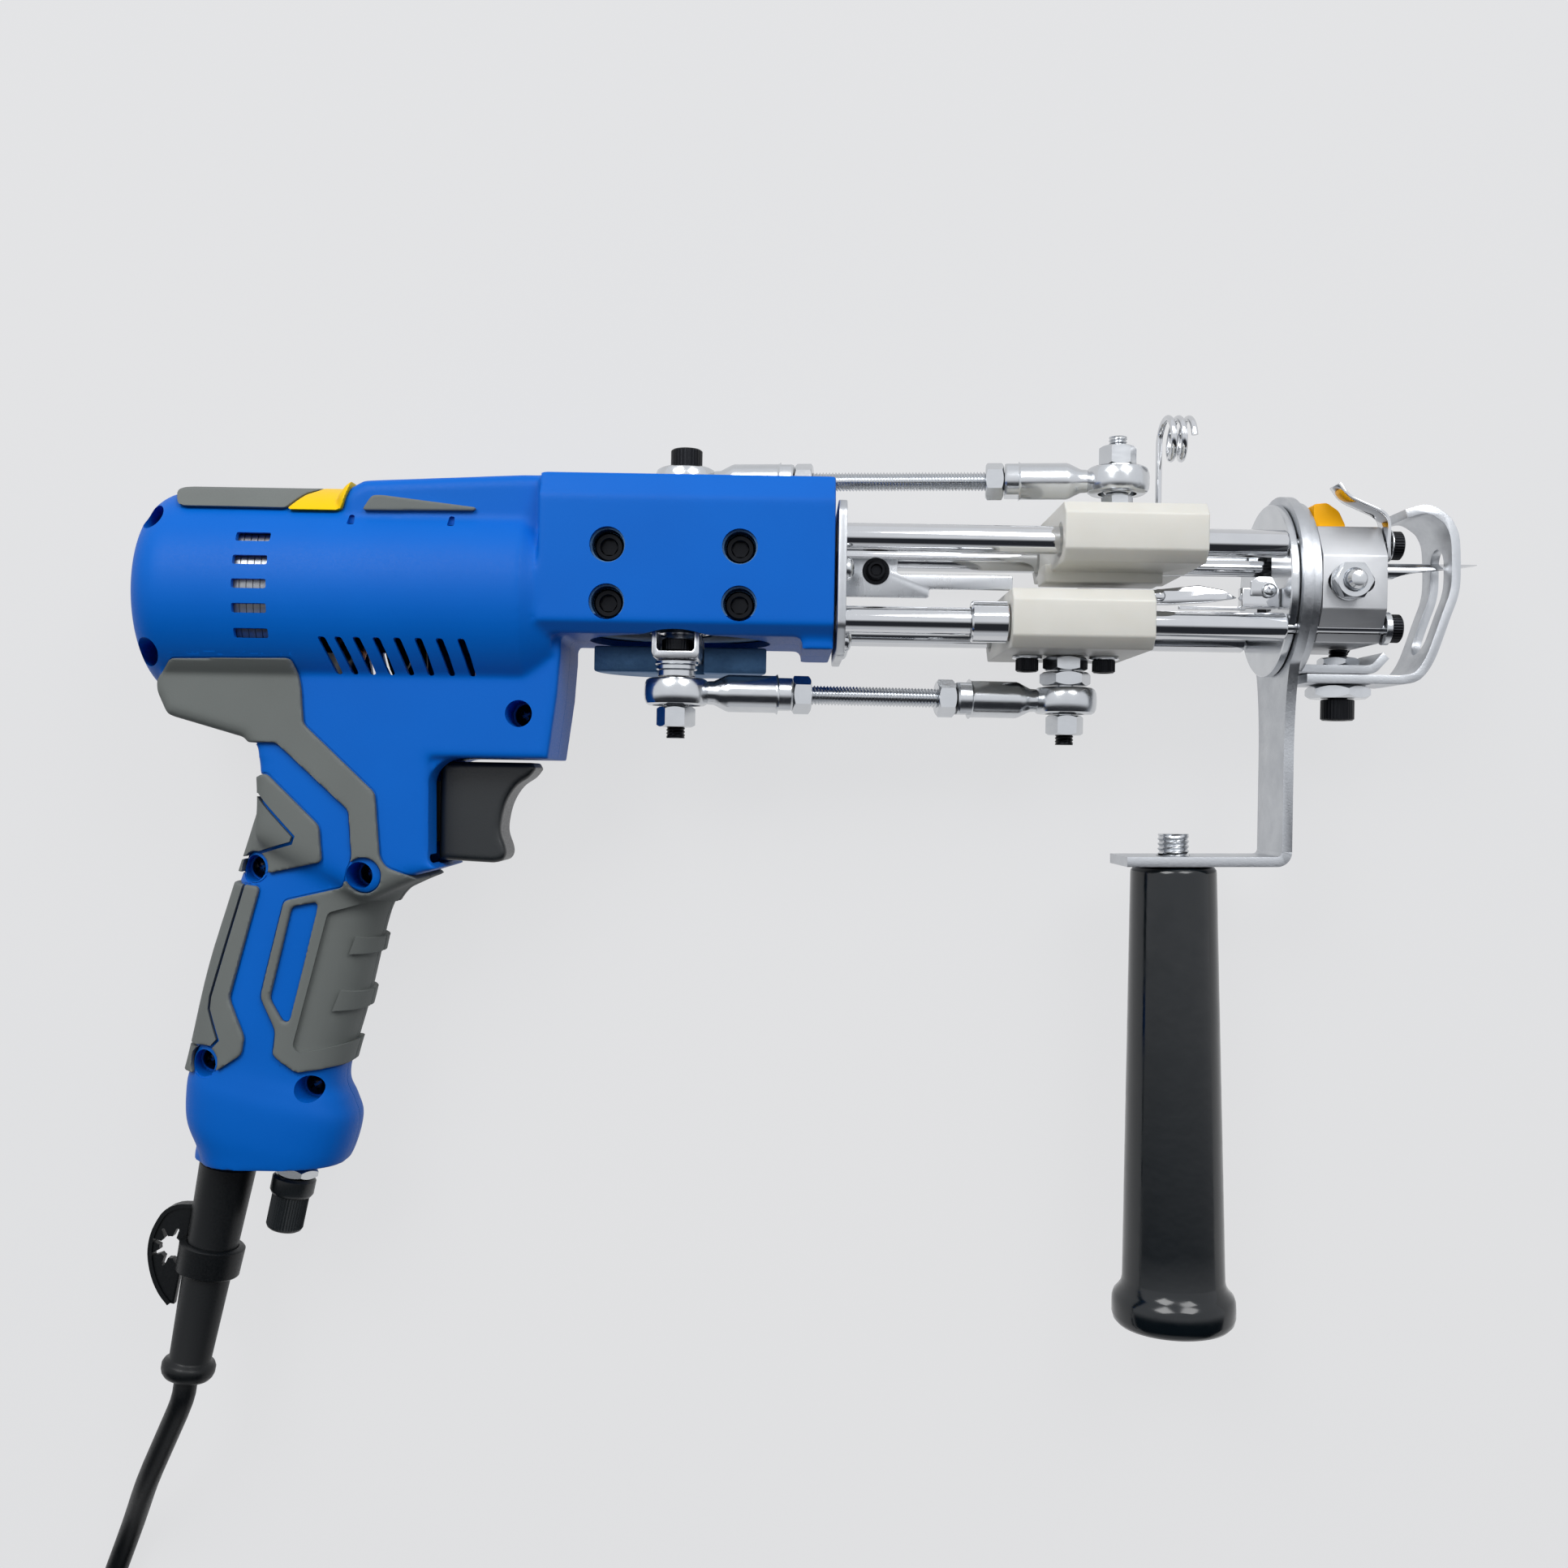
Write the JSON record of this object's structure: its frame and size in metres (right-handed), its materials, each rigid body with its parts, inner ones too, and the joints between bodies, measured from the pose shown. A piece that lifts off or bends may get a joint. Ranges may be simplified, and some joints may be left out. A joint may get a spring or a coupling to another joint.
{
  "type": "handheld tufting machine",
  "caption": "Handheld electric tufting machine with a crank-driven needle and scissor carriage, presser foot, side handle and mains cord.",
  "frame": {"origin": "bottom centre of the machine without its cord, lying on its left side", "axes": "+X towards the needle, +Y towards the machine's top, +Z out of its right side"},
  "size_m": [0.4438, 0.5021, 0.0675],
  "materials": {
    "blue_shell": "moulded blue plastic with a fine satin grain",
    "grey_soft": "soft grey overmoulded rubber",
    "yellow_plastic": "moulded yellow plastic",
    "black_plastic": "smooth black plastic",
    "black_rubber": "black rubber",
    "black_steel": "black oxide steel",
    "zinc_steel": "zinc plated steel",
    "chrome_steel": "ground and polished steel",
    "white_nylon": "milky white nylon",
    "brushed_aluminium": "machined aluminium",
    "dark_casting": "dark cast metal",
    "copper_winding": "copper windings on a steel core"
  },
  "bodies": {
    "machine": {"right_housing": "blue_shell", "left_housing": "blue_shell", "top_strip": "grey_soft", "yellow_insert": "yellow_plastic", "trigger_switch": "black_plastic", "knob_nut": "zinc_steel", "strain_relief": "black_plastic", "key_holder": "black_rubber", "motor_stator": "zinc_steel", "gear_case": "dark_casting", "upper_crank_bearing": "chrome_steel", "lower_crank_bearing": "chrome_steel", "rear_plate": "zinc_steel", "upper_right_shaft": "chrome_steel", "upper_left_shaft": "chrome_steel", "lower_right_shaft": "chrome_steel", "lower_left_shaft": "chrome_steel", "rear_rail": "zinc_steel", "front_disc": "zinc_steel", "handle_bracket": "zinc_steel", "foot_bracket": "zinc_steel", "nose_block": "brushed_aluminium", "nose_plate": "zinc_steel", "leaf_spring": "zinc_steel", "yellow_wedge": "yellow_plastic", "foot_bolt": "zinc_steel", "cam_block": "zinc_steel", "front_handle": "black_plastic", "handle_stud": "zinc_steel", "cord": "black_rubber", "cord_coil": "black_rubber", "cord_plug": "black_rubber"},
    "trigger": {"trigger": "black_plastic"},
    "speed_knob": {"speed_knob": "black_plastic"},
    "crank": {"crank_shaft": "zinc_steel", "upper_crank_arm": "zinc_steel", "lower_crank_arm": "zinc_steel", "upper_counterweight": "dark_casting", "lower_counterweight": "dark_casting", "upper_crank_pin": "black_steel", "lower_crank_pin": "black_steel"},
    "armature": {"armature": "copper_winding", "cooling_fan": "black_plastic"},
    "needle_carriage": {"upper_carriage": "white_nylon", "upper_stud": "zinc_steel", "needle": "chrome_steel", "yarn_guide": "zinc_steel", "upper_rear_rod_end": "zinc_steel", "upper_front_rod_end": "zinc_steel", "upper_link_rod": "zinc_steel"},
    "scissor_carriage": {"lower_carriage": "white_nylon", "lower_stud": "zinc_steel", "bearing_collar": "chrome_steel", "fixed_blade": "chrome_steel", "lower_rear_rod_end": "zinc_steel", "lower_front_rod_end": "zinc_steel", "lower_link_rod": "zinc_steel"},
    "moving_blade": {"moving_blade": "zinc_steel"},
    "presser_foot": {"presser_foot": "zinc_steel"},
    "depth_stud": {"depth_stud": "zinc_steel"}
  },
  "joints": [
    {"name": "crank_turn", "type": "hinge", "parent": "machine", "child": "crank", "pos_m": [-0.04183, 0.09637, 0.0325], "axis": [0, 1, 0], "range_deg": [-35, 35]},
    {"name": "needle_slide", "type": "slide", "parent": "machine", "child": "needle_carriage", "axis": [1, 0, 0], "range_m": [-0.0087, 0.0087]},
    {"name": "scissor_slide", "type": "slide", "parent": "machine", "child": "scissor_carriage", "axis": [1, 0, 0], "range_m": [-0.0087, 0.0087]},
    {"name": "armature_spin", "type": "hinge", "parent": "machine", "child": "armature", "pos_m": [-0.18183, 0.08987, 0.0325], "axis": [1, 0, 0], "range_deg": [-141, 141]},
    {"name": "blade_turn", "type": "hinge", "parent": "scissor_carriage", "child": "moving_blade", "pos_m": [0.10267, 0.09397, 0.0415], "axis": [0, 0, 1], "range_deg": [-6, 6]},
    {"name": "trigger_pull", "type": "slide", "parent": "machine", "child": "trigger", "axis": [-1, 0, 0], "range_m": [0, 0.006], "stiffness_N_per_m": 400},
    {"name": "speed_knob_turn", "type": "hinge", "parent": "machine", "child": "speed_knob", "pos_m": [-0.15713, -0.08413, 0.0325], "axis": [-0.1908, -0.9816, 0], "range_deg": [-135, 135]},
    {"name": "foot_adjust", "type": "slide", "parent": "machine", "child": "presser_foot", "axis": [1, 0, 0], "range_m": [-0.003, 0.003]},
    {"name": "depth_adjust", "type": "slide", "parent": "machine", "child": "depth_stud", "axis": [1, 0, 0], "range_m": [-0.002, 0.003]}
  ],
  "couplings": [
    {"joint": "needle_slide", "follows": "crank_turn", "m_per_rad": -0.01408},
    {"joint": "scissor_slide", "follows": "crank_turn", "m_per_rad": 0.01408},
    {"joint": "armature_spin", "follows": "crank_turn", "ratio": 4},
    {"joint": "blade_turn", "follows": "crank_turn", "ratio": 0.17}
  ]
}
